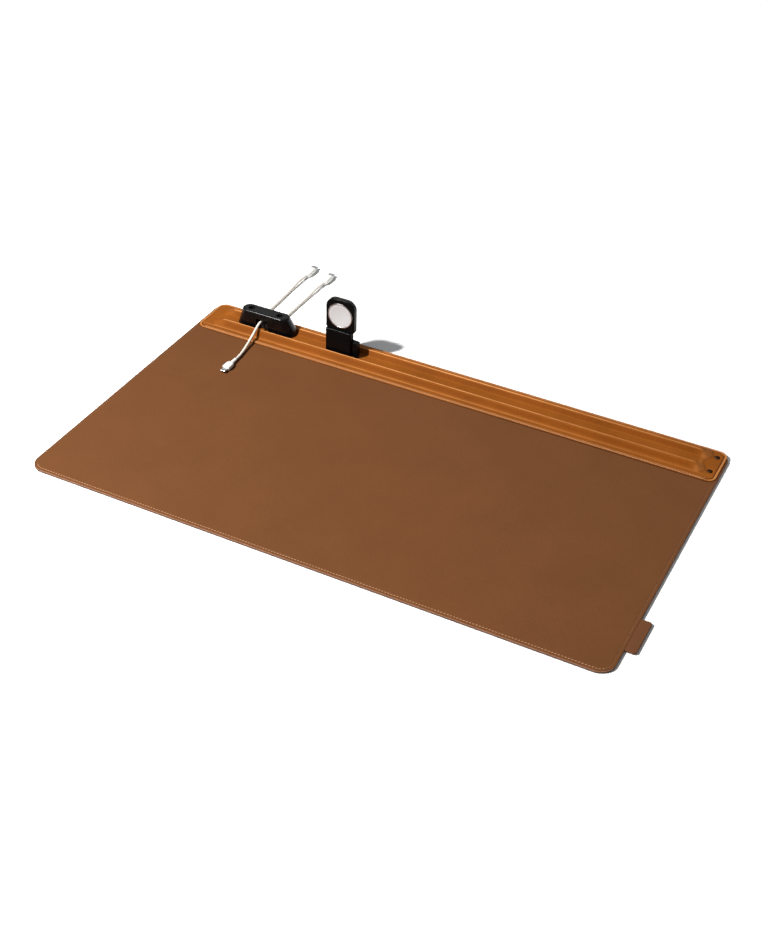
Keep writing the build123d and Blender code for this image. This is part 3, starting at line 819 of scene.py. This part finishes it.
def make_grip(name, node, start, way, relief):
    """A plug's grip: a ribbed strain relief that runs into a soft-edged body."""
    low, high = size_of(node)
    width, height, length = high.x - low.x, high.z - low.z, high.y - low.y
    sections = [(0.0, LEAD + 0.1, LEAD + 0.1, 2.0)]
    ribs = 4
    ribbed = 0.78 * relief
    gap = ribbed / ribs
    for rib in range(ribs):
        near = relief * 0.10 + ribbed * rib / ribs
        low_size = LEAD + 0.5 + 1.0 * rib / ribs
        neck = low_size - 0.45
        crown = low_size + 0.15
        sections += [(near, low_size, low_size, 2.0), (near + gap * 0.55, crown, crown, 2.0),
                     (near + gap * 0.65, neck, neck, 2.0), (near + gap * 0.9, neck, neck, 2.0)]
    # The body, as shares of its length, width and height
    body = [(0.0, 0.50, 0.78), (0.04, 0.74, 0.88), (0.12, 0.90, 0.95), (0.28, 0.98, 0.99), (0.5, 1.0, 1.0),
            (0.86, 1.0, 1.0), (0.93, 0.985, 0.98), (0.97, 0.95, 0.93), (1.0, 0.88, 0.82)]
    for share, wide, tall in body:
        power = 2.0 + 2.4 * share ** 0.4
        sections.append((relief + (length - relief) * share, width * wide, height * tall, power))
    loops = along_y(start, way, sections)
    return new_mesh(name, points_of(loops), stack(loops), [WHITE_PLUG], "cable_dock", node)


def make_tip(name, node, way, is_hollow):
    """A plug's metal end: a flat tongue with contacts' land, or an oval shell with a tongue inside."""
    low, high = size_of(node)
    width, height, length = high.x - low.x, high.z - low.z, high.y - low.y
    start = ((low.x + high.x) / 2, low.y if way > 0 else high.y, (low.z + high.z) / 2)
    if is_hollow:
        wall = 0.35
        bore = (width - 2 * wall, height - 2 * wall, 5.0)
        sections = [(0.0, width, height, 5.0), (length * 0.93, width, height, 5.0),
                    (length, width - 0.3, height - 0.3, 5.0), (length, *bore), (length * 0.25, *bore)]
    else:
        sections = [(0.0, width, height, 6.0), (length * 0.85, width, height, 6.0),
                    (length * 0.95, width * 0.96, height * 0.85, 5.0),
                    (length, width * 0.88, height * 0.55, 4.0)]
    loops = along_y(start, way, sections)
    points = points_of(loops)
    faces = stack(loops)
    if is_hollow:
        blade = (width - 2.0, 0.7, 8.0)
        tongue = along_y(start, way, [(length * 0.2, *blade), (length * 0.86, *blade)])
        faces += stack(tongue, len(points))
        points += points_of(tongue)
    return new_mesh(name, points, faces, [PLUG_METAL], "cable_dock", node, soft=False)


def make_leads():
    for name, node, route, plug, way, relief, is_hollow, length in LEADS:
        grip = make_grip(plug + "_body", plug + "_grip", route[-1], way, relief)
        tip = make_tip(plug + "_end", plug + "_tip", way, is_hollow)
        make_cord(name, node, route)


# Screws on the head's back

def make_head_screws():
    """Countersunk screws with a six-sided socket, two above and two further apart below."""
    low, high = size_of("head_screws")
    radius = 1.7
    middle_x = (low.x + high.x) / 2
    places = [(middle_x - 11.5, high.z - radius), (middle_x + 11.5, high.z - radius),
              (middle_x - 13.4, low.z + radius), (middle_x + 13.4, low.z + radius)]
    sides = 24
    # Rings from the hidden end to the socket's floor: depth, radius, and whether six-sided
    rings = [(4.0, 0.8, False), (0.9, 0.8, False), (0.9, radius, False), (0.12, radius, False),
             (0.0, 1.58, False), (0.0, 0.95, True), (0.6, 0.85, True)]
    sixth = math.pi / 3
    points, faces = [], []
    for x, z in places:
        loops = []
        for depth, size, six_sided in rings:
            loop = []
            for k in range(sides):
                angle = 2 * math.pi * k / sides
                reach = size
                if six_sided:
                    reach = size * math.cos(sixth / 2) / math.cos(angle % sixth - sixth / 2)
                loop.append((x - reach * math.cos(angle), high.y - depth, z + reach * math.sin(angle)))
            loops.append(loop)
        faces += stack(loops, len(points))
        points += points_of(loops)
    new_mesh("head_screw_set", points, faces, [SCREW], "watch_stand", "head_screws",
             soft=False)


# Stage: lights in metres and watts, as name, place, aim, size, power and colour

LIGHTS = [
    ("key", (-0.903, -0.870, 1.500), (0.0, 0.0, 0.0), 0.15, 72.0, (1.0, 0.99, 0.97)),
    ("back", (-0.90, 1.70, 1.25), (-0.15, 0.15, 0.0), 1.2, 1.2, WHITE),
    ("far_floor", (1.2, 2.4, 2.2), (2.0, 4.0, 0.0), 1.5, 120.0, WHITE),
    ("far_left", (-1.6, 2.6, 2.2), (-2.6, 4.4, 0.0), 1.5, 70.0, WHITE),
    ("far_front", (0.0, -2.8, 2.2), (0.0, -5.0, 0.0), 1.5, 120.0, WHITE),
]
WORLD_COLOUR = (0.96, 0.98, 1.0, 1.0)
WORLD_STRENGTH = 0.24
FLOOR_REACH = 6.0
FLOOR_DROP = 0.0002
FLOOR_PALE = (0.93, 0.93, 0.93)


def make_camera():
    back = Vector((math.sin(AZIMUTH) * math.cos(ELEVATION), -math.cos(AZIMUTH) * math.cos(ELEVATION),
                   math.sin(ELEVATION)))
    right = (-back).cross(Vector((0, 0, 1))).normalized()
    up = right.cross(-back)
    turned_right = right * math.cos(ROLL) + up * math.sin(ROLL)
    turned_up = -right * math.sin(ROLL) + up * math.cos(ROLL)
    data = bpy.data.cameras.new("camera")
    data.sensor_width = SENSOR
    data.lens = LENS
    data.clip_start = 0.01
    camera = bpy.data.objects.new("camera", data)
    axes = Matrix((turned_right, turned_up, back)).transposed()
    camera.matrix_world = Matrix.Translation(AIM + back * DISTANCE) @ axes.to_4x4()
    bpy.context.scene.collection.objects.link(camera)
    bpy.context.scene.camera = camera


def make_floor():
    data = bpy.data.meshes.new("floor")
    corners = [(-1, -1), (1, -1), (1, 1), (-1, 1)]
    data.from_pydata([(x * FLOOR_REACH, y * FLOOR_REACH, 0) for x, y in corners], [], [(0, 1, 2, 3)])
    look = Look("floor_pale")
    look.shade({"Base Color": FLOOR_PALE, "Roughness": 0.9, "Specular IOR Level": 0.1})
    data.materials.append(look.material)
    floor = bpy.data.objects.new("floor", data)
    floor.location.z = -FLOOR_DROP
    bpy.context.scene.collection.objects.link(floor)


def make_lights():
    for name, spot, aim, size, power, colour in LIGHTS:
        data = bpy.data.lights.new(name, "AREA")
        data.shape = "DISK"
        data.size = size
        data.energy = power
        data.color = colour
        lamp = bpy.data.objects.new(name, data)
        lamp.location = spot
        lamp.rotation_euler = (Vector(spot) - Vector(aim)).to_track_quat("Z", "Y").to_euler()
        bpy.context.scene.collection.objects.link(lamp)
    world = bpy.data.worlds.new("studio")
    world.use_nodes = True
    background = world.node_tree.nodes["Background"]
    background.inputs["Color"].default_value = WORLD_COLOUR
    background.inputs["Strength"].default_value = WORLD_STRENGTH
    bpy.context.scene.world = world
    bpy.context.scene.view_settings.view_transform = "Standard"


make_camera()
make_leads()
finish_nodes()
make_mat()
make_tag()
make_rail()
make_stitching()
make_head_screws()
make_floor()
make_lights()
